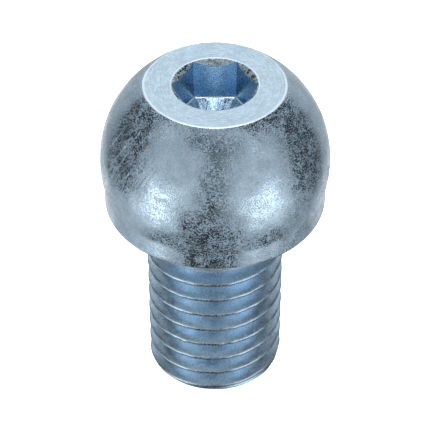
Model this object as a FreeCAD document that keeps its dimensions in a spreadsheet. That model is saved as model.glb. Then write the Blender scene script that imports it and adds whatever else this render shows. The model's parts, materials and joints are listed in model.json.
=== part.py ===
"""Ball-head screw: a ball with a flat top and a hexagon socket, forged in one piece with an M12 shank.

The screw stands on its tip. The origin is the centre of the tip's end face, and +Z runs up the
screw's axis to the flat on the ball. All lengths are in millimetres and all angles in degrees.
"""

import FreeCAD, Part
import math
import os

import Sketcher

NODE = "ball_head_screw"

DIMENSIONS = {
    # head
    "ball_diameter": 19.2,
    "flat_height": 7.65,  # the flat top, above the ball's centre
    "head_depth": 4.2,  # the head's underside, below the ball's centre
    "band_diameter": 18.7,  # the straight band that the ball runs into
    "rim_radius": 0.3,  # rounding of the head's lower edge
    # shank, measured up from the tip
    "shank_length": 18.0,
    "neck_diameter": 10.75,  # plain neck between the thread and the head
    "neck_length": 2.6,
    "neck_radius": 0.6,  # rounding where the neck meets the head
    "tip_diameter": 10.9,  # the end face, inside the tip's 45 degree chamfer
    # M12 thread
    "thread_diameter": 11.8,  # the crest, at the 6g tolerance
    "thread_pitch": 1.75,
    "thread_mid_diameter": 10.75,  # where ridge and groove are equally wide
    "thread_root_diameter": 9.75,
    "thread_flank_angle": 30.0,
    "thread_start": -1.35,  # height of the groove's middle where it starts, on the +X side
    "thread_overcut": 0.3,  # how far the groove's outline runs out past the crest
    # socket, measured down from the flat top
    "hex_width": 6.12,  # across the flats, for a 6 mm key
    "hex_depth": 3.6,
    "countersink_diameter": 7.0,
    "floor_cone_diameter": 5.9,
    "floor_slope": 30.0,
}

# Heights above the tip and radii that several features share, as expressions over the sheet.
BALL_CENTRE = "(dims.shank_length + dims.head_depth)"
HEAD_TOP = "(dims.shank_length + dims.head_depth + dims.flat_height)"
THREAD_TOP = "(dims.shank_length - dims.neck_length)"
BALL_RADIUS = "(dims.ball_diameter / 2)"
BAND_RADIUS = "(dims.band_diameter / 2)"
CREST_RADIUS = "(dims.thread_diameter / 2)"
NECK_RADIUS = "(dims.neck_diameter / 2)"
TIP_RADIUS = "(dims.tip_diameter / 2)"

Y_AXIS_OF_SKETCH = -2
X_AXIS_OF_SKETCH = -1
START, END, CENTRE = 1, 2, 3


def make_sheet(doc):
    """The driving dimensions, one row each, with the dimension's name as its cell's alias."""
    sheet = doc.addObject("Spreadsheet::Sheet", "dims")
    for row, (name, value) in enumerate(DIMENSIONS.items(), start=1):
        sheet.set(f"A{row}", name)
        sheet.set(f"B{row}", str(value))
        sheet.setAlias(f"B{row}", name)
    doc.recompute()
    return sheet


def make_sketch(body, role, name):
    """An empty sketch on the body's own origin plane of this role."""
    sketch = body.newObject("Sketcher::SketchObject", name)
    plane = next(item for item in body.Origin.OriginFeatures if item.Role == role)
    sketch.AttachmentSupport = [(plane, "")]
    sketch.MapMode = "FlatFace"
    return sketch


def bind(sketch, kind, where, value, expression):
    """Adds one dimension to the sketch and ties it to an expression over the sheet."""
    index = sketch.addConstraint(Sketcher.Constraint(kind, *where, value))
    sketch.setExpression(f"Constraints[{index}]", expression)


def join_in_a_loop(sketch, lines):
    """Makes each line or arc end where the next one starts, and the last where the first does."""
    for line, following in zip(lines, lines[1:] + lines[:1]):
        sketch.addConstraint(Sketcher.Constraint("Coincident", line, END, following, START))


def fix_start(sketch, line, point, across, up):
    """Fixes where a line starts: its distance from the axis and its height, as expressions."""
    for kind, value, expression, axis in (
        ("DistanceX", point.x, across, Y_AXIS_OF_SKETCH),
        ("DistanceY", point.y, up, X_AXIS_OF_SKETCH),
    ):
        if expression == "0":
            sketch.addConstraint(Sketcher.Constraint("PointOnObject", line, START, axis))
        else:
            bind(sketch, kind, (-1, 1, line, START), value, expression)


def draw_outline(sketch, sheet, corners, arc_from=None, arc_centre_height=None):
    """Draws a closed outline through corners given as (distance from the axis, height).

    The side that starts at corner number arc_from is an arc about a centre on the axis.
    """
    points = [
        FreeCAD.Vector(sheet.evalExpression(across), sheet.evalExpression(up), 0)
        for across, up in corners
    ]
    lines = []
    for number, (point, following) in enumerate(zip(points, points[1:] + points[:1])):
        if number == arc_from:
            centre = FreeCAD.Vector(0, sheet.evalExpression(arc_centre_height), 0)
            circle = Part.Circle(centre, FreeCAD.Vector(0, 0, 1), (point - centre).Length)
            side = Part.ArcOfCircle(circle, circle.parameter(point), circle.parameter(following))
        else:
            side = Part.LineSegment(point, following)
        lines.append(sketch.addGeometry(side))
    join_in_a_loop(sketch, lines)
    for number, (line, point, (across, up)) in enumerate(zip(lines, points, corners)):
        fix_start(sketch, line, point, across, up)
        if number == arc_from:
            sketch.addConstraint(
                Sketcher.Constraint("PointOnObject", line, CENTRE, Y_AXIS_OF_SKETCH)
            )


def revolve(body, sheet, kind, name, corners, **arc):
    """Turns an outline once round the screw's axis, as a Revolution or a Groove."""
    sketch = make_sketch(body, "XZ_Plane", f"{name}_outline")
    draw_outline(sketch, sheet, corners, **arc)
    feature = body.newObject(f"PartDesign::{kind}", name)
    feature.Profile = sketch
    feature.ReferenceAxis = (sketch, ["V_Axis"])
    feature.Angle = 360
    return feature


def blank(body, sheet):
    """The forged blank: tip, plain shank, neck, band, ball and flat top in one turned outline."""
    chamfer = f"({CREST_RADIUS} - {TIP_RADIUS})"
    shoulder = f"({CREST_RADIUS} - {NECK_RADIUS})"
    band_top = f"({BALL_CENTRE} - sqrt({BALL_RADIUS}^2 - {BAND_RADIUS}^2))"
    flat_radius = f"sqrt({BALL_RADIUS}^2 - dims.flat_height^2)"
    corners = [
        ("0", "0"),
        (TIP_RADIUS, "0"),
        (CREST_RADIUS, chamfer),
        (CREST_RADIUS, THREAD_TOP),
        (NECK_RADIUS, f"{THREAD_TOP} + {shoulder}"),
        (NECK_RADIUS, "dims.shank_length"),
        (BAND_RADIUS, "dims.shank_length"),
        (BAND_RADIUS, band_top),
        (flat_radius, HEAD_TOP),
        ("0", HEAD_TOP),
    ]
    ball = corners.index((BAND_RADIUS, band_top))
    return revolve(
        body, sheet, "Revolution", "blank", corners, arc_from=ball, arc_centre_height=BALL_CENTRE
    )


def edge_name(shape, radius, height):
    """The name of the full circle of this radius at this height."""
    for number, edge in enumerate(shape.Edges, start=1):
        curve = edge.Curve
        if not isinstance(curve, Part.Circle):
            continue
        if math.isclose(curve.Radius, radius) and math.isclose(curve.Center.z, height):
            return f"Edge{number}"
    raise RuntimeError(f"no circle of radius {radius} at height {height}")


def round_edge(body, sheet, name, base, edge_radius, alias):
    """Rounds one circular edge of the head's flat underside."""
    edge = edge_name(
        base.Shape, sheet.evalExpression(edge_radius), sheet.evalExpression("dims.shank_length")
    )
    fillet = body.newObject("PartDesign::Fillet", name)
    fillet.Base = (base, [edge])
    fillet.setExpression("Radius", f"dims.{alias}")
    return fillet


def hexagon(body, name):
    """A regular hexagon at the height of the flat top, with two corners on the X axis."""
    sketch = make_sketch(body, "XY_Plane", name)
    sketch.setExpression("AttachmentOffset.Base.z", HEAD_TOP)
    corner_radius = DIMENSIONS["hex_width"] / math.sqrt(3)
    points = [
        FreeCAD.Vector(
            corner_radius * math.cos(math.radians(60 * k)),
            corner_radius * math.sin(math.radians(60 * k)),
            0,
        )
        for k in range(6)
    ]
    sides = [
        sketch.addGeometry(Part.LineSegment(point, following))
        for point, following in zip(points, points[1:] + points[:1])
    ]
    join_in_a_loop(sketch, sides)
    circle = sketch.addGeometry(
        Part.Circle(FreeCAD.Vector(0, 0, 0), FreeCAD.Vector(0, 0, 1), corner_radius), True
    )
    sketch.addConstraint(Sketcher.Constraint("Coincident", circle, CENTRE, -1, 1))
    bind(sketch, "Radius", (circle,), corner_radius, "dims.hex_width / sqrt(3)")
    for side in sides:
        sketch.addConstraint(Sketcher.Constraint("PointOnObject", side, START, circle))
    for side in sides[1:]:
        sketch.addConstraint(Sketcher.Constraint("Equal", sides[0], side))
    sketch.addConstraint(Sketcher.Constraint("PointOnObject", sides[0], START, X_AXIS_OF_SKETCH))
    return sketch


def socket(body, sheet):
    """The hexagon socket with its countersunk mouth and its conical floor."""
    pocket = body.newObject("PartDesign::Pocket", "hex_socket")
    pocket.Profile = hexagon(body, "hex_outline")
    pocket.setExpression("Length", "dims.hex_depth")
    # The countersink's point lies inside the socket, so only its mouth cuts metal.
    mouth = "(dims.countersink_diameter / 2)"
    countersink = revolve(
        body,
        sheet,
        "Groove",
        "countersink",
        [("0", HEAD_TOP), ("0", f"{HEAD_TOP} - {mouth}"), (mouth, HEAD_TOP)],
    )
    edge = "(dims.floor_cone_diameter / 2)"
    floor = f"({HEAD_TOP} - dims.hex_depth)"
    cone = revolve(
        body,
        sheet,
        "Groove",
        "socket_floor",
        [("0", floor), ("0", f"{floor} - {edge} * tan(dims.floor_slope)"), (edge, floor)],
    )
    return [pocket, countersink, cone]


def thread(body, sheet):
    """The right-hand thread: one V groove on a helix, from below the tip to the middle of the neck."""
    slope = "tan(dims.thread_flank_angle)"
    point_radius = f"(dims.thread_mid_diameter / 2 - dims.thread_pitch / 4 / {slope})"
    root = "(dims.thread_root_diameter / 2)"
    outside = f"({CREST_RADIUS} + dims.thread_overcut)"
    root_half = f"(({root} - {point_radius}) * {slope})"
    outside_half = f"(({outside} - {point_radius}) * {slope})"
    sketch = make_sketch(body, "XZ_Plane", "thread_groove_outline")
    draw_outline(
        sketch,
        sheet,
        [
            (root, f"dims.thread_start - {root_half}"),
            (outside, f"dims.thread_start - {outside_half}"),
            (outside, f"dims.thread_start + {outside_half}"),
            (root, f"dims.thread_start + {root_half}"),
        ],
    )
    groove = body.newObject("PartDesign::SubtractiveHelix", "thread_groove")
    groove.Profile = sketch
    groove.ReferenceAxis = (sketch, ["V_Axis"])
    groove.Mode = "pitch-height-angle"
    groove.LeftHanded = False
    groove.setExpression("Pitch", "dims.thread_pitch")
    groove.setExpression("Height", f"{THREAD_TOP} + dims.neck_length / 2 - dims.thread_start")
    return groove


def make_screw(doc, sheet):
    """The screw's body, and the features in it that must each take metal away."""
    body = doc.addObject("PartDesign::Body", "screw")
    body.Label = NODE
    turned = blank(body, sheet)
    doc.recompute()
    rim = round_edge(body, sheet, "rim_rounding", turned, BAND_RADIUS, "rim_radius")
    doc.recompute()
    neck = round_edge(body, sheet, "neck_rounding", rim, NECK_RADIUS, "neck_radius")
    doc.recompute()
    cuts = socket(body, sheet) + [thread(body, sheet)]
    doc.recompute()
    body.Placement = FreeCAD.Placement()
    return body, cuts


def check(doc, body, cuts):
    """Stops if a feature has failed, a cut has missed the metal or the solid isn't sound."""
    for item in doc.Objects:
        if "Invalid" in item.State or "Error" in item.State:
            raise RuntimeError(f"{item.Label} failed: {item.State}")
    for cut in cuts:
        if cut.Shape.Volume >= cut.BaseFeature.Shape.Volume:
            raise RuntimeError(f"{cut.Label} cuts nothing")
    if body.Shape.isNull() or not body.Shape.isValid():
        raise RuntimeError(f"{body.Label} isn't a valid solid")


def main():
    doc = FreeCAD.newDocument("ball_head_screw")
    sheet = make_sheet(doc)
    body, cuts = make_screw(doc, sheet)
    check(doc, body, cuts)
    os.makedirs("parts", exist_ok=True)
    body.Shape.exportStep(f"parts/{body.Label}.step")


main()
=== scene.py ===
"""Looks of the ball-head screw: its fine mesh, zinc finish, lights and camera.

One mesh takes the place of the CAD solid. Lengths are in millimetres until a mesh or a light is
made, because Blender works in metres. Heights are measured up from the tip's end face, and angles
run round the screw's axis from +X.
"""

import json
import math

import bpy
import numpy as np
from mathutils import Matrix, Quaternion, Vector


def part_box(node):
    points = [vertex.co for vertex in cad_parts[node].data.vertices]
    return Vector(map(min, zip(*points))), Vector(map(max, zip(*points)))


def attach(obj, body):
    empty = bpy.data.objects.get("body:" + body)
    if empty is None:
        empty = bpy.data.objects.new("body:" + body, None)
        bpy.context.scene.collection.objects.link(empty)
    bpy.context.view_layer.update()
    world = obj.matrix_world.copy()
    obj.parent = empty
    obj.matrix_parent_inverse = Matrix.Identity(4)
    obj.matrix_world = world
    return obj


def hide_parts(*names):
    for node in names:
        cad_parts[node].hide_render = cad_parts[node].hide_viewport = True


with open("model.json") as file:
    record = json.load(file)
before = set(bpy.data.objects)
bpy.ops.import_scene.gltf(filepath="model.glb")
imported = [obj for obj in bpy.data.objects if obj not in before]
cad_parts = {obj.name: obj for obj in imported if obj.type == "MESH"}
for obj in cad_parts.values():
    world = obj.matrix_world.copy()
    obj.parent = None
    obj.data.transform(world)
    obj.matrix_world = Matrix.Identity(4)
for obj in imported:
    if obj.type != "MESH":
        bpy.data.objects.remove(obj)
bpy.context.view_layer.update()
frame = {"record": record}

MM = 0.001
NODE = "ball_head_screw"
MOUNTS = {mount["name"]: mount for mount in frame["record"]["mounts"]}

# Sizes read from the frame
HEAD_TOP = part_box(NODE)[1][2] / MM
BALL_HEIGHT = MOUNTS["ball"]["pos_m"][2] / MM
BALL_RADIUS = MOUNTS["ball"]["dims"]["r_mm"]
SHANK_LENGTH = MOUNTS["head_seat"]["pos_m"][2] / MM
CREST_RADIUS = MOUNTS["thread"]["dims"]["r_mm"]

# Sizes that the frame doesn't name, as in the CAD model
BAND_RADIUS = 9.35
RIM_RADIUS = 0.3
TIP_RADIUS = 5.45
NECK_RADIUS = 5.375
NECK_FILLET = 0.6
PITCH = 1.75
ROOT_RADIUS = 4.875
MID_RADIUS = 5.375
FLANK = math.tan(math.radians(30))
THREAD_START = -1.35
RUN_OUT = (13.6, 15.6)  # the thread fades into the neck between these heights
CREST_END = 14.9  # above this height the crests, fading into the neck, take the flanks' finish
LEAD_IN = (0.2, 1.3)  # the groove deepens from the tip's chamfer between these heights
LEAD_IN_DEPTH = 0.1  # how deep the groove is where the lead-in starts
FADED_DEPTH = 0.02  # how deep it still is where it has faded into the neck
ROOT_BLEND = 0.05  # how softly the root, the crest and the tip's chamfer are rounded
CREST_BLEND = 0.022
CHAMFER_BLEND = 0.03
CREST_WEAR = 0.012  # how far the crests and the whole thread are from even
THREAD_UNEVENNESS = 0.004
SNAP = 0.02  # rows of the mesh this near to an end of the shank are laid flat on it

# Across one turn, from the groove's middle: the line of painted shade under a crest, and the crest's
# far side
LINE_START = 0.73
LINE_END = 0.83
CREST_BELOW = -0.78
HEX_FLAT = 3.06
HEX_DEPTH = 3.6
MOUTH_RADIUS = 3.5
FLOOR_CONE_RADIUS = 2.95
FLOOR_SLOPE = math.tan(math.radians(30))
HEX_CORNER_BLEND = 0.027
CREASE_BLEND = 0.02  # how softly the band runs into the ball
FORGED_REACH = 8.5  # only points this far from the ball's centre are uneven, so not the socket's

# The mesh's grid: columns round the axis, drawn in towards the hexagon's six corners
COLUMNS = 276
CORNER_PULL = 0.55 / 6
TURN = 2 * math.pi
SIXTH = TURN / 6
MERGE_STEPS = 1e5  # steps in a millimetre: points that round to the same step are one


def column_angles():
    """Angles of the mesh's columns, closer together near the socket's corners."""
    even = np.arange(COLUMNS) * TURN / COLUMNS
    return even - CORNER_PULL * np.sin(6 * even)


ANGLES = column_angles()


def soft_min(a, b, blend):
    """The smaller of two values, with the change-over rounded off."""
    return -blend * np.logaddexp(-a / blend, -b / blend)


def soft_max(a, b, blend):
    """The larger of two values, with the change-over rounded off."""
    return blend * np.logaddexp(a / blend, b / blend)


def smooth_step(value, start, end):
    """0 before start and 1 after end, with a smooth rise between."""
    share = np.clip((value - start) / (end - start), 0, 1)
    return share * share * (3 - 2 * share)


def ripple(points, wavelength, seed, waves=24):
    """A smooth random field of about unit height over points in millimetres."""
    chance = np.random.default_rng(seed)
    directions = chance.normal(size=(waves, 3))
    directions /= np.linalg.norm(directions, axis=1)[:, None]
    numbers = TURN / (wavelength * chance.uniform(0.7, 1.5, waves))
    phases = chance.uniform(0, TURN, waves)
    heights = np.sin(points @ (directions * numbers[:, None]).T + phases)
    return heights.sum(axis=-1) / math.sqrt(waves / 2)


# ---------------------------------------------------------------- the thread


def groove_offset(height, angle):
    """Distance along the axis from the middle of the nearest turn of the thread's groove."""
    turns = (height - THREAD_START) / PITCH - angle / TURN
    return (turns - np.round(turns)) * PITCH


def thread_radius(height, angle):
    """Radius of the rolled thread, from its chamfered tip to where it fades into the neck."""
    faded = smooth_step(height, *RUN_OUT)
    crest = CREST_RADIUS + (NECK_RADIUS - CREST_RADIUS) * faded
    root = ROOT_RADIUS + (NECK_RADIUS - FADED_DEPTH - ROOT_RADIUS) * faded
    shallow = 1 - smooth_step(height, *LEAD_IN)
    root = root + (CREST_RADIUS - LEAD_IN_DEPTH - ROOT_RADIUS) * shallow
    flank = MID_RADIUS - PITCH / 4 / FLANK + np.abs(groove_offset(height, angle)) / FLANK
    ridge = soft_min(soft_max(flank, root, ROOT_BLEND), crest, CREST_BLEND)
    chamfer = TIP_RADIUS + height
    return soft_min(ridge, chamfer, CHAMFER_BLEND)


def thread_offsets():
    """Where the mesh's rows lie across one turn of the groove: close together at root and crest."""
    side = [0.10, 0.17, 0.26, 0.42, 0.58, 0.68, 0.735, 0.775, 0.84]
    return [-offset for offset in reversed(side)] + [0.0] + side + [PITCH / 2]


def thread_zones(row, heights):
    """The finish of each face above a row: the line of painted shade under a crest, the crest itself
    or a flank.
    """
    offset = thread_offsets()[row % len(thread_offsets())]
    zone = "thread"
    # the faces just under a crest get the painted shade
    if LINE_START < offset < LINE_END:
        zone = "line"
    elif offset > LINE_END or offset < CREST_BELOW:
        zone = "crest"
    return [zone if height < CREST_END else "thread" for height in heights]


def thread_rows():
    """Rows that climb with the thread, flattened at both ends, as (rows, columns, 3) points.

    Row i meets row i + one turn's rows where the columns come round again.
    """
    offsets = thread_offsets()
    low, high = 0.0, SHANK_LENGTH - NECK_FILLET
    first = math.floor(-THREAD_START / PITCH) - 2
    last = math.ceil((high - THREAD_START) / PITCH) + 2
    turns = range(first, last)
    starts = [THREAD_START + PITCH * turn + offset for turn in turns for offset in offsets]
    height = np.array(starts)[:, None] + PITCH * ANGLES[None, :] / TURN
    height = np.where(height < low + SNAP, low, height)
    height = np.where(height > high - SNAP, high, height)
    angle = np.broadcast_to(ANGLES, height.shape)
    radius = thread_radius(height, angle)
    spots = np.stack([radius * np.cos(angle), radius * np.sin(angle), height], axis=-1)
    worn = smooth_step(radius, ROOT_RADIUS + 0.6, CREST_RADIUS)
    radius = radius + worn * CREST_WEAR * ripple(spots, 1.1, seed=3)
    radius = radius + THREAD_UNEVENNESS * ripple(spots, 2.3, seed=4)
    return np.stack([radius * np.cos(angle), radius * np.sin(angle), height], axis=-1)


# ---------------------------------------------------------------- plain rings


def ring(radius, height):
    """One ring of points at a radius and height, which may each differ from column to column."""
    radius = np.broadcast_to(radius, ANGLES.shape)
    height = np.broadcast_to(height, ANGLES.shape)
    return np.stack([radius * np.cos(ANGLES), radius * np.sin(ANGLES), height], axis=-1)


def arc(centre_radius, centre_height, size, start, end, steps):
    """Rings along an arc in the profile, by angle in degrees above the outward direction."""
    turns = np.radians(np.linspace(start, end, steps + 1))
    return [
        ring(centre_radius + size * math.cos(t), centre_height + size * math.sin(t))
        for t in turns
    ]


def shoulder_rings():
    """From the neck's fillet out over the head's flat underside and round its lower rim."""
    fillet = arc(NECK_RADIUS + NECK_FILLET, SHANK_LENGTH - NECK_FILLET, NECK_FILLET, 180, 90, 6)
    reach = np.linspace(NECK_RADIUS + NECK_FILLET, BAND_RADIUS - RIM_RADIUS, 7)
    flat = [ring(radius, SHANK_LENGTH) for radius in reach[1:-1]]
    return fillet[1:] + flat


def rim_rings():
    """Round the head's lower rim, from facing down to facing outwards."""
    return arc(BAND_RADIUS - RIM_RADIUS, SHANK_LENGTH + RIM_RADIUS, RIM_RADIUS, -90, 0, 8)


def ball_rings():
    """The band and the ball, with the crease between them softened, up to the edge of the flat."""
    band_top = BALL_HEIGHT - math.sqrt(BALL_RADIUS**2 - BAND_RADIUS**2)
    heights = np.linspace(SHANK_LENGTH + RIM_RADIUS, band_top + 0.5, 12)[1:]
    band = []
    for height in heights:
        on_ball = math.sqrt(BALL_RADIUS**2 - (height - BALL_HEIGHT) ** 2)
        band.append(ring(soft_max(BAND_RADIUS, on_ball, CREASE_BLEND), height))
    start = math.asin((heights[-1] - BALL_HEIGHT) / BALL_RADIUS)
    end = math.asin((HEAD_TOP - BALL_HEIGHT) / BALL_RADIUS) - 0.006
    turns = np.append(np.linspace(start, end - 0.004, 54)[1:], end)
    ball = [
        ring(BALL_RADIUS * math.cos(t), BALL_HEIGHT + BALL_RADIUS * math.sin(t))
        for t in turns
    ]
    return band + ball


def flat_edge():
    """Radius where the ball meets the flat top."""
    return math.sqrt(BALL_RADIUS**2 - (HEAD_TOP - BALL_HEIGHT) ** 2)


def turned_rings():
    """The edge between the ball and the flat, rounded by the turning tool, which takes a painted
    highlight.
    """
    edge = flat_edge()
    steps = ((0.012, -0.025), (-0.03, -0.010), (-0.08, -0.003), (-0.14, 0.0))
    return [ring(edge + out, HEAD_TOP + drop) for out, drop in steps]


def flat_rings():
    """The flat top, in to the socket's mouth."""
    edge, mouth = flat_edge(), socket_mouth()
    shares = [0.03, 0.12, 0.25, 0.4, 0.55, 0.7, 0.82, 0.91, 0.97, 1.0]
    outer, inner = edge - 0.16, mouth + 0.13
    return [ring(outer * (1 - share) + inner * share, HEAD_TOP) for share in shares]


def lip_rings():
    """The worn edge between the flat and the countersink, which takes a painted highlight."""
    mouth = socket_mouth()
    steps = ((0.09, -0.004), (0.05, -0.014), (0.01, -0.034))
    return [ring(mouth + out, HEAD_TOP + drop) for out, drop in steps]


def hexagon():
    """Radius of the socket's walls at each column, with slightly rounded corners."""
    off_corner = np.abs((ANGLES + SIXTH / 2) % SIXTH - SIXTH / 2)
    near = HEX_FLAT / np.cos(SIXTH / 2 - off_corner)
    far = HEX_FLAT / np.cos(SIXTH / 2 + off_corner)
    return soft_min(near, far, HEX_CORNER_BLEND)


def socket_mouth():
    """Radius of the countersink's rim, pushed out a little by the hexagon's corners."""
    return soft_max(MOUTH_RADIUS, hexagon(), 0.01)


def countersink_rings():
    """From the socket's mouth down the countersink to the top of the walls."""
    mouth, wall = socket_mouth(), hexagon()
    drop = np.maximum(mouth - wall, 0)
    top = HEAD_TOP - 0.04
    return [ring(mouth - drop * share, top - drop * share) for share in (0.15, 0.5, 0.9)]


def wall_rings():
    """The six walls of the socket, down to its floor."""
    mouth, wall = socket_mouth(), hexagon()
    top = HEAD_TOP - 0.05 - np.maximum(mouth - wall, 0)
    floor = HEAD_TOP - HEX_DEPTH
    shares = [0.0, 0.02, 0.1, 0.25, 0.45, 0.65, 0.85, 1.0]
    return [ring(wall, top * (1 - share) + (floor + 0.03) * share) for share in shares]


def wall_zones():
    """The finish of each column of the walls: "corner", lighter as a painted highlight, on the two
    beside each of the six corners.
    """
    side = COLUMNS // 6
    return ["corner" if (column + 1) % side < 2 else "wall" for column in range(COLUMNS)]


def hollow_ring(share):
    """A ring of the hollow floor, a hexagon at the walls that soon turns round further in."""
    wall = hexagon()
    radius = share * (HEX_FLAT + (wall - HEX_FLAT) * share**4)
    return ring(radius, HEAD_TOP - HEX_DEPTH - FLOOR_CONE_RADIUS * (1 - share) * FLOOR_SLOPE)


def foot_rings():
    """The foot of the walls and the edge of the floor, which take a painted highlight."""
    floor = HEAD_TOP - HEX_DEPTH
    wall = hexagon()
    corner = [ring(wall - 0.003, floor + 0.012), ring(wall - 0.012, floor + 0.001)]
    return corner + [hollow_ring(0.965)]


def floor_rings():
    """The hollow floor, almost to its middle."""
    return [hollow_ring(share) for share in (0.9, 0.8, 0.68, 0.55, 0.42, 0.3, 0.2, 0.1, 0.03)]


# ---------------------------------------------------------------- the mesh


ZONES = [
    "thread", "crest", "line", "seat", "ball", "rim",
    "flat", "countersink", "wall", "corner", "floor",
]


class Skin:
    """Collects the screw's rings and the faces between them, from the tip to the socket's floor."""

    def __init__(self):
        self.points, self.faces, self.zones = [], [], []

    def add_points(self, points):
        """Adds points and returns the number of the first."""
        start = sum(len(part) for part in self.points)
        self.points.append(points.reshape(-1, 3))
        return start

    def join(self, lower, upper, zone, shift=0):
        """Faces from one ring's first point to the next ring's; shift climbs a turn at the seam.

        The zone is one name for them all or a list with a name for each column.
        """
        zones = [zone] * COLUMNS if isinstance(zone, str) else zone
        for column in range(COLUMNS):
            following = (column + 1) % COLUMNS
            climb = shift if following == 0 else 0
            far = climb + following
            self.faces.append((lower + column, lower + far, upper + far, upper + column))
        self.zones.extend(zones)

    def close(self, ring_start, point, zone, upwards):
        """A fan from a ring to one point on the axis."""
        for column in range(COLUMNS):
            following = (column + 1) % COLUMNS
            pair = (column, following) if upwards else (following, column)
            self.faces.append((ring_start + pair[0], ring_start + pair[1], point))
            self.zones.append(zone)


def screw_skin():
    """All rings of the screw joined into one closed skin."""
    skin = Skin()
    rows = thread_rows()
    tip_edge = np.linalg.norm(rows[0, :, :2], axis=1)
    tip = skin.add_points(np.array([[0.0, 0.0, 0.0]]))
    last = None
    for share in (0.12, 0.35, 0.6, 0.8, 0.93, 0.985, 1.0):
        start = skin.add_points(ring(tip_edge * share, 0.0))
        if last is None:
            skin.close(start, tip, "thread", upwards=False)
        else:
            skin.join(last, start, "thread")
        last = start
    turn_rows = len(thread_offsets())
    thread = skin.add_points(rows)
    for row in range(len(rows) - turn_rows - 1):
        here = thread + row * COLUMNS
        zones = thread_zones(row, rows[row, :, 2])
        skin.join(here, here + COLUMNS, zones, shift=turn_rows * COLUMNS)
    last = thread + (len(rows) - 1) * COLUMNS
    for zone, rings in (
        ("seat", shoulder_rings() + rim_rings()[:4]),
        # painted shade: a dark line along the lowest visible part of the head's rim
        ("line", rim_rings()[4:7]),
        # painted highlight along the outward face of the head's lower rim
        ("rim", rim_rings()[7:]),
        ("ball", ball_rings()),
        # painted highlight along the edge between the ball and the flat
        ("rim", turned_rings()),
        ("flat", flat_rings()),
        # painted highlight along the socket's lip
        ("rim", lip_rings()),
        ("countersink", countersink_rings()),
        (wall_zones(), wall_rings()),
        # painted highlight along the foot of the walls and the edge of the floor
        ("rim", foot_rings()),
        ("floor", floor_rings()),
    ):
        for points in rings:
            start = skin.add_points(points)
            skin.join(last, start, zone)
            last = start
    middle = HEAD_TOP - HEX_DEPTH - FLOOR_CONE_RADIUS * FLOOR_SLOPE
    end = skin.add_points(np.array([[0.0, 0.0, middle]]))
    skin.close(last, end, "floor", upwards=True)
    return skin


def forge(points):
    """The points again, with the forged head made slightly uneven."""
    points = points.copy()
    outward = points - np.array([0, 0, BALL_HEIGHT])
    reach = np.linalg.norm(outward, axis=1)
    head = smooth_step(points[:, 2], SHANK_LENGTH, SHANK_LENGTH + 0.5) * (reach > FORGED_REACH)
    outward /= np.maximum(reach, 1e-6)[:, None]
    dents = 0.008 * ripple(points, 3.5, seed=11) + 0.003 * ripple(points, 1.2, seed=12)
    return points + outward * (head * dents)[:, None]


def merged(points, faces):
    """Points with doubles made one, the faces that are left, and those faces' old numbers."""
    rounded = np.round(points * MERGE_STEPS).astype(np.int64)
    _, keep, numbers = np.unique(rounded, axis=0, return_index=True, return_inverse=True)
    numbers = numbers.ravel()
    tidy, kept = [], []
    for index, face in enumerate(faces):
        corners = [int(numbers[corner]) for corner in face]
        corners = [c for place, c in enumerate(corners) if c != corners[place - 1]]
        if len(set(corners)) >= 3:
            tidy.append(corners)
            kept.append(index)
    return points[keep], tidy, kept


def build_screw(materials):
    """The screw's mesh object, in metres, with one material for each zone of its surface."""
    skin = screw_skin()
    points, faces, kept = merged(forge(np.concatenate(skin.points)), skin.faces)
    mesh = bpy.data.meshes.new("screw_surface")
    mesh.from_pydata((points * MM).tolist(), [], faces)
    for zone in ZONES:
        mesh.materials.append(materials[zone])
    numbers = [ZONES.index(skin.zones[index]) for index in kept]
    mesh.polygons.foreach_set("material_index", numbers)
    mesh.shade_smooth()
    mesh.validate()
    screw = bpy.data.objects.new("screw", mesh)
    bpy.context.scene.collection.objects.link(screw)
    return screw


# ---------------------------------------------------------------- the zinc finish


ZINC = (0.49, 0.64, 0.77)  # the ball, the band and the underside
FLAT_ZINC = (0.475, 0.62, 0.74)
THREAD_ZINC = (0.475, 0.655, 0.83)  # the rolled flanks, a little bluer
EDGE_HIGHLIGHT_ZINC = (0.62, 0.75, 0.85)  # the rounded edges of the head, the flat and the socket, painted lighter as highlights along them
MOUTH_ZINC = (0.53, 0.66, 0.76)  # the countersink, left rough by the punch
CREST_ZINC = (0.53, 0.67, 0.79)  # the crests, lighter and less blue than the flanks
PAINTED_SHADE_ZINC = (0.16, 0.21, 0.26)  # painted shade: a dark line under each crest and under the head
FLOOR_ZINC = (0.30, 0.44, 0.61)  # the socket's floor, darker because it faces the lights overhead
DEEP_ZINC = (0.61, 0.82, 0.99)  # the socket's walls, lighter because little light reaches them
CORNER_HIGHLIGHT_ZINC = (0.74, 0.90, 0.99)  # the socket's corners, painted lighter still as a highlight down each corner

# Sizes of the finish's larger features, in millimetres
BLOTCH_SIZE = 1.1
SWELL_SIZE = 0.45
STAIN_SIZE = 1.3
SCRATCH_WIDTH = 0.16
SCRATCH_HEIGHT = 0.06

# The grain and blotches added up vary about this level, and by about this much
GRAIN_LEVEL = 0.8
GRAIN_RANGE = 0.25
DULL_EDGE = 0.02  # how soft the change from bright to dull metal is

# How noise is stretched into streaks: the angle counts as this many millimetres in a radian
RING_STRETCH = 0.7
RAY_SPREAD = 3.2
RAY_SQUEEZE = 0.15
WALL_SQUEEZE = 0.12


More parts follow.
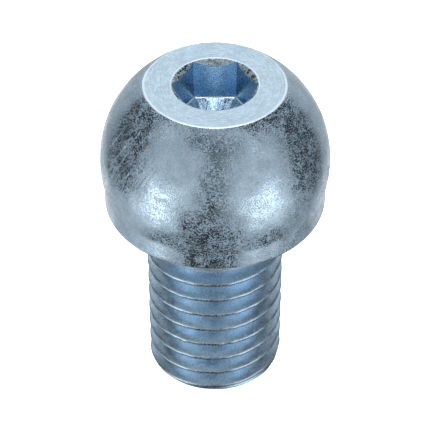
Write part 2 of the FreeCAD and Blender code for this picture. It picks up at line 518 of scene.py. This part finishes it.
class Nodes:
    """A small helper that adds shader nodes and joins them."""

    def __init__(self, tree):
        self.tree = tree

    def fill(self, socket, value):
        """Sets a socket to a number, or joins another node's output to it."""
        if isinstance(value, bpy.types.NodeSocket):
            self.tree.links.new(value, socket)
        else:
            socket.default_value = value

    def add(self, kind, settings=(), **inputs):
        """Adds a node, sets its properties and fills its inputs.

        An input called i0 or i1 is found by its place, and any other by its name.
        """
        node = self.tree.nodes.new(kind)
        for name, value in dict(settings).items():
            setattr(node, name, value)
        for name, value in inputs.items():
            place = int(name[1:]) if name.startswith("i") else name
            self.fill(node.inputs[place], value)
        return node

    def math(self, operation, *values):
        """One math node, and returns its output."""
        node = self.add("ShaderNodeMath", {"operation": operation})
        for socket, value in zip(node.inputs, values):
            self.fill(socket, value)
        return node.outputs[0]

    def spread(self, value, low, high, to_low, to_high):
        """Maps a range of values to another, clamped."""
        node = self.add("ShaderNodeMapRange", Value=value)
        names = ("From Min", "From Max", "To Min", "To Max")
        for name, number in zip(names, (low, high, to_low, to_high)):
            node.inputs[name].default_value = number
        return node.outputs["Result"]

    def noise(self, vector, feature, detail=2.0, roughness=0.55, distortion=0.0):
        """Noise whose features are about this many millimetres across."""
        node = self.add("ShaderNodeTexNoise", Vector=vector, Scale=1 / (feature * MM), Detail=detail)
        node.inputs["Roughness"].default_value = roughness
        node.inputs["Distortion"].default_value = distortion
        return node.outputs["Fac"]


def polar(nodes, where):
    """Distance from the screw's axis and angle round it."""
    parts = nodes.add("ShaderNodeSeparateXYZ", Vector=where)
    across = nodes.math("POWER", parts.outputs["X"], 2.0)
    along = nodes.math("POWER", parts.outputs["Y"], 2.0)
    radius = nodes.math("SQRT", nodes.math("ADD", across, along))
    angle = nodes.math("ARCTAN2", parts.outputs["Y"], parts.outputs["X"])
    return radius, angle


def direction_vector(nodes, where, streaks):
    """Coordinates squeezed so that noise over them runs in rings, in rays or down the walls."""
    if streaks == "walls":
        squeeze = nodes.add("ShaderNodeMapping", {"vector_type": "POINT"}, Vector=where)
        squeeze.inputs["Scale"].default_value = (1.0, 1.0, WALL_SQUEEZE)
        return squeeze.outputs[0]
    across, angle = polar(nodes, where)
    if streaks == "rings":
        along = nodes.math("MULTIPLY", angle, RING_STRETCH * MM)
    else:
        along = nodes.math("MULTIPLY", across, RAY_SQUEEZE)
        across = nodes.math("MULTIPLY", angle, RAY_SPREAD * MM)
    return nodes.add("ShaderNodeCombineXYZ", X=across, Y=along).outputs[0]


# Where the ball has been scraped, in millimetres, and which way the scratches run
SCRAPE_MIDDLE = (-7.1, -5.4, 25.8)
SCRAPE_REACH = 3.2
SCRAPE_ALONG = (0.64, 0.48, 0.60)
SCRAPE_ACROSS = (-0.77, 0.40, 0.50)


def scratches(nodes, where):
    """Raised lines, 1 at most, in a patch of scratches on the left of the ball."""
    parts = []
    for direction, squeeze in ((SCRAPE_ALONG, 0.05), (SCRAPE_ACROSS, 1.0)):
        dot = nodes.add("ShaderNodeVectorMath", {"operation": "DOT_PRODUCT"}, i0=where, i1=direction)
        parts.append(nodes.math("MULTIPLY", dot.outputs["Value"], squeeze))
    strip = nodes.add("ShaderNodeCombineXYZ", X=parts[0], Y=parts[1]).outputs[0]
    lines = nodes.spread(nodes.noise(strip, SCRATCH_WIDTH, detail=1.0), 0.60, 0.68, 0.0, 1.0)
    middle = tuple(part * MM for part in SCRAPE_MIDDLE)
    away = nodes.add("ShaderNodeVectorMath", {"operation": "DISTANCE"}, i0=where, i1=middle)
    edge = SCRAPE_REACH * MM
    near = nodes.spread(away.outputs["Value"], 0.6 * edge, edge, 1.0, 0.0)
    return nodes.math("MULTIPLY", lines, near)


def raised(nodes, under, height, depth):
    """A bump over another bump, this many millimetres high where the height is 1."""
    bump = nodes.add("ShaderNodeBump", Height=height, Strength=1.0, Distance=depth * MM)
    nodes.fill(bump.inputs["Normal"], under.outputs["Normal"])
    return bump


def zinc(name, tint, bright, dull, grain, depth, share=0.4, streaks=None,
         streak_size=0.1, streak_depth=0.0, marks=0.05, scratched=False):
    """Blue-white zinc: bright metal and dull metal mixed in a fine grain, thicker in some blotches.

    bright and dull are the two roughnesses, share is how much of the surface is dull, grain and
    streak_size are how wide the features are, depth and streak_depth how high they stand, and marks
    is how far the stains take the colour to each side of the tint.
    """
    material = bpy.data.materials.new(name)
    material.use_nodes = True
    nodes = Nodes(material.node_tree)
    links = material.node_tree.links
    shader = material.node_tree.nodes["Principled BSDF"]
    shader.inputs["Metallic"].default_value = 1.0
    where = nodes.add("ShaderNodeTexCoord").outputs["Object"]

    fine = nodes.noise(where, grain, detail=1.0, roughness=0.6)
    blotches = nodes.noise(where, BLOTCH_SIZE, detail=4.0, roughness=0.65)
    mixed = nodes.math("ADD", fine, nodes.math("MULTIPLY", blotches, 0.6))
    middle = GRAIN_LEVEL + GRAIN_RANGE * (0.5 - share)
    matte = nodes.spread(mixed, middle - DULL_EDGE, middle + DULL_EDGE, 0.0, 1.0)
    links.new(nodes.spread(matte, 0.0, 1.0, bright, dull), shader.inputs["Roughness"])

    swell = nodes.noise(where, SWELL_SIZE, detail=2.0)
    height = nodes.math("ADD", fine, nodes.math("MULTIPLY", swell, 0.3))
    bump = nodes.add("ShaderNodeBump", Height=height, Strength=1.0, Distance=depth * MM)
    if streaks:
        flow = direction_vector(nodes, where, streaks)
        lines = nodes.noise(flow, streak_size, detail=3.0, roughness=0.7)
        bump = raised(nodes, bump, lines, streak_depth)
    if scratched:
        bump = raised(nodes, bump, scratches(nodes, where), SCRATCH_HEIGHT)
    normal = bump.outputs["Normal"]
    links.new(normal, shader.inputs["Normal"])

    stain = nodes.noise(where, STAIN_SIZE, detail=5.0, roughness=0.7)
    shade = nodes.math("ADD", stain, nodes.math("MULTIPLY", matte, 0.3))
    if streaks:
        shade = nodes.math("ADD", shade, nodes.math("MULTIPLY_ADD", lines, 2.0, -1.0))
    mix = nodes.add("ShaderNodeMix", {"data_type": "RGBA"})
    mix.inputs["A"].default_value = [c * (1 - marks) for c in tint] + [1]
    mix.inputs["B"].default_value = [c * (1 + marks) for c in tint] + [1]
    links.new(nodes.spread(shade, 0.4, 0.9, 0.0, 1.0), mix.inputs["Factor"])
    links.new(mix.outputs["Result"], shader.inputs["Base Color"])
    return material


def finishes():
    """One finish for each zone of the screw's surface."""
    turned = {"streaks": "rings", "streak_size": 0.12, "streak_depth": 0.008, "marks": 0.16}
    drawn = {"streaks": "walls", "streak_size": 0.12, "streak_depth": 0.003}
    rayed = {"streaks": "rays", "streak_size": 0.22, "streak_depth": 0.022, "marks": 0.4}
    rolled = {"share": 0.5, "marks": 0.2, **drawn}
    forged = {"share": 0.45, "marks": 0.2, "scratched": True}
    punched = {"share": 0.5, "marks": 0.2}
    return {
        "thread": zinc("rolled_zinc", THREAD_ZINC, 0.28, 0.48, 0.11, depth=0.008, **rolled),
        "crest": zinc("crest_zinc", CREST_ZINC, 0.26, 0.40, 0.12, depth=0.008),
        # a dark line of painted shade under the crests and under the head
        "line": zinc("painted_shade_line_zinc", PAINTED_SHADE_ZINC, 0.30, 0.50, 0.12, depth=0.01, marks=0.3),
        "seat": zinc("seat_zinc", ZINC, 0.22, 0.34, 0.12, depth=0.005),
        "ball": zinc("forged_zinc", ZINC, 0.05, 0.62, 0.105, depth=0.016, **forged),
        # painted highlights along the rounded edges
        "rim": zinc("edge_highlight_zinc", EDGE_HIGHLIGHT_ZINC, 0.18, 0.26, 0.14, depth=0.003),
        "flat": zinc("turned_zinc", FLAT_ZINC, 0.17, 0.45, 0.11, depth=0.015, share=0.25, **turned),
        "countersink": zinc("mouth_zinc", MOUTH_ZINC, 0.10, 0.60, 0.2, depth=0.04, **punched),
        "wall": zinc("punched_zinc", DEEP_ZINC, 0.24, 0.30, 0.14, depth=0.005, **drawn),
        # painted highlight down each of the socket's six corners
        "corner": zinc("corner_highlight_zinc", CORNER_HIGHLIGHT_ZINC, 0.24, 0.30, 0.14, depth=0.005),
        "floor": zinc("floor_zinc", FLOOR_ZINC, 0.08, 0.14, 0.14, depth=0.002, **rayed),
    }


# ---------------------------------------------------------------- the studio


def sky_direction(azimuth, elevation):
    """Unit vector at an azimuth, 0 towards the camera and 90 to its right, and an elevation."""
    a, e = math.radians(azimuth), math.radians(elevation)
    return np.array([math.sin(a) * math.cos(e), -math.cos(a) * math.cos(e), math.sin(e)])


STUDIO_RADIUS = 500.0  # how far the lights stand from the middle of the ball
WHITE = (1.0, 1.0, 1.0)
WARM = (1.0, 0.96, 0.87)


def softbox(name, azimuth, elevation, width, height, brightness, roll=0, colour=WHITE, glossy=True):
    """A rectangular light facing the ball, sized by the angles it fills as seen from there."""
    light = bpy.data.lights.new(name, "AREA")
    light.shape = "RECTANGLE"
    light.color = colour
    light.size = 2 * STUDIO_RADIUS * MM * math.tan(math.radians(width / 2))
    light.size_y = 2 * STUDIO_RADIUS * MM * math.tan(math.radians(height / 2))
    light.energy = brightness * math.pi * light.size * light.size_y
    lamp = bpy.data.objects.new(name, light)
    direction = sky_direction(azimuth, elevation)
    lamp.location = (np.array([0, 0, BALL_HEIGHT]) + direction * STUDIO_RADIUS) * MM
    facing = Vector(direction.tolist()).to_track_quat("Z", "Y")
    turned = facing @ Quaternion((0, 0, 1), math.radians(roll))
    lamp.rotation_euler = turned.to_euler()
    lamp.visible_camera = False
    lamp.visible_glossy = glossy
    bpy.context.scene.collection.objects.link(lamp)


def light_studio():
    """Soft light: boxes beside the camera with brighter lamps in them, and dimmer walls all round."""
    softbox("left_box", -46, 17, 60, 60, 0.58)
    softbox("left_glow", -59, -26, 44, 42, 0.62, roll=-20)
    softbox("left_inner", -24, -6, 26, 34, 0.24)
    softbox("left_core", -52, -19, 20, 34, 1.6, roll=-20, colour=WARM)
    softbox("right_box", 46, 14, 60, 58, 0.60)
    softbox("right_glow", 47, -23, 46, 44, 0.86, roll=25)
    softbox("right_core", 46, -20, 26, 26, 0.8, roll=25, colour=WARM)
    softbox("front_box", 2, 30, 30, 40, 0.15)
    softbox("right_inner", 14, -12, 18, 42, 0.36)
    softbox("left_low", -112, -45, 90, 26, 0.5)
    softbox("right_low", 118, -47, 90, 26, 0.28)
    softbox("back_left", -153, -8, 54, 72, 0.44)
    softbox("back_right", 153, -14, 56, 70, 0.5)
    softbox("back_wall", 178, 46, 88, 46, 1.06)
    softbox("top_box", -12, 66, 110, 20, 0.42)
    softbox("overhead", 180, 77, 50, 18, 2.1)
    softbox("spot", 0, 84, 12, 8, 3.6)
    softbox("underneath", 0, -90, 40, 36, 0.95)
    softbox("floor_light", 0, 80, 60, 60, 2.5, glossy=False)
    world = bpy.data.worlds.new("studio")
    world.use_nodes = True
    world.node_tree.nodes["Background"].inputs["Color"].default_value = (0.06, 0.06, 0.06, 1)
    bpy.context.scene.world = world


# The floor and the cove round it, in metres
FLOOR_RADIUS = 0.55
COVE_RADIUS = 0.25
WALL_TOP = 3 * COVE_RADIUS
COVE_SIDES = 64


def cove_mesh():
    """A round floor that curves up into a wall all round, in metres."""
    profile = [(FLOOR_RADIUS, 0.0)]
    for turn in np.radians(np.linspace(10, 90, 9)):
        out, up = math.sin(turn), 1 - math.cos(turn)
        profile.append((FLOOR_RADIUS + COVE_RADIUS * out, COVE_RADIUS * up))
    profile.append((FLOOR_RADIUS + COVE_RADIUS, WALL_TOP))
    points, faces = [], [tuple(range(COVE_SIDES))]
    for radius, height in profile:
        for side in range(COVE_SIDES):
            angle = side * TURN / COVE_SIDES
            points.append((radius * math.cos(angle), radius * math.sin(angle), height))
    for row in range(len(profile) - 1):
        for side in range(COVE_SIDES):
            here = row * COVE_SIDES + side
            following = row * COVE_SIDES + (side + 1) % COVE_SIDES
            faces.append((here, here + COVE_SIDES, following + COVE_SIDES, following))
    mesh = bpy.data.meshes.new("floor")
    mesh.from_pydata(points, [], faces)
    mesh.validate()
    mesh.shade_smooth()
    return mesh


def make_floor():
    """A plain pale floor and backdrop in one, kept out of the metal's reflections."""
    mesh = cove_mesh()
    material = bpy.data.materials.new("pale_floor")
    material.use_nodes = True
    shader = material.node_tree.nodes["Principled BSDF"]
    shader.inputs["Base Color"].default_value = (0.9, 0.9, 0.9, 1)
    shader.inputs["Roughness"].default_value = 0.9
    shader.inputs["Specular IOR Level"].default_value = 0.0
    shader.inputs["Emission Color"].default_value = (1, 1, 1, 1)
    shader.inputs["Emission Strength"].default_value = 0.85
    mesh.materials.append(material)
    floor = bpy.data.objects.new("floor", mesh)
    floor.visible_glossy = False
    floor.visible_shadow = False
    bpy.context.scene.collection.objects.link(floor)


# The camera, by its elevation in degrees, two lengths in millimetres and its lens
CAMERA_ELEVATION = 38.91
CAMERA_DISTANCE = 14.64 * BALL_RADIUS
CAMERA_AIM = BALL_HEIGHT - 0.657 * BALL_RADIUS
CAMERA_LENS = 141.2


def make_camera():
    """Looks down at the screw from the front, aimed just under the head."""
    data = bpy.data.cameras.new("camera")
    data.lens = CAMERA_LENS
    data.clip_start, data.clip_end = 0.01, 20.0
    camera = bpy.data.objects.new("camera", data)
    centre = np.array([0, 0, BALL_HEIGHT])
    place = centre + sky_direction(0, CAMERA_ELEVATION) * CAMERA_DISTANCE
    aim = np.array([0, 0, CAMERA_AIM])
    camera.location = (place * MM).tolist()
    camera.rotation_euler = Vector((aim - place).tolist()).to_track_quat("-Z", "Y").to_euler()
    bpy.context.scene.collection.objects.link(camera)
    bpy.context.scene.camera = camera


make_camera()
make_floor()
light_studio()
screw = build_screw(finishes())
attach(screw, "root")
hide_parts(NODE)
bpy.context.scene.view_settings.view_transform = "Standard"
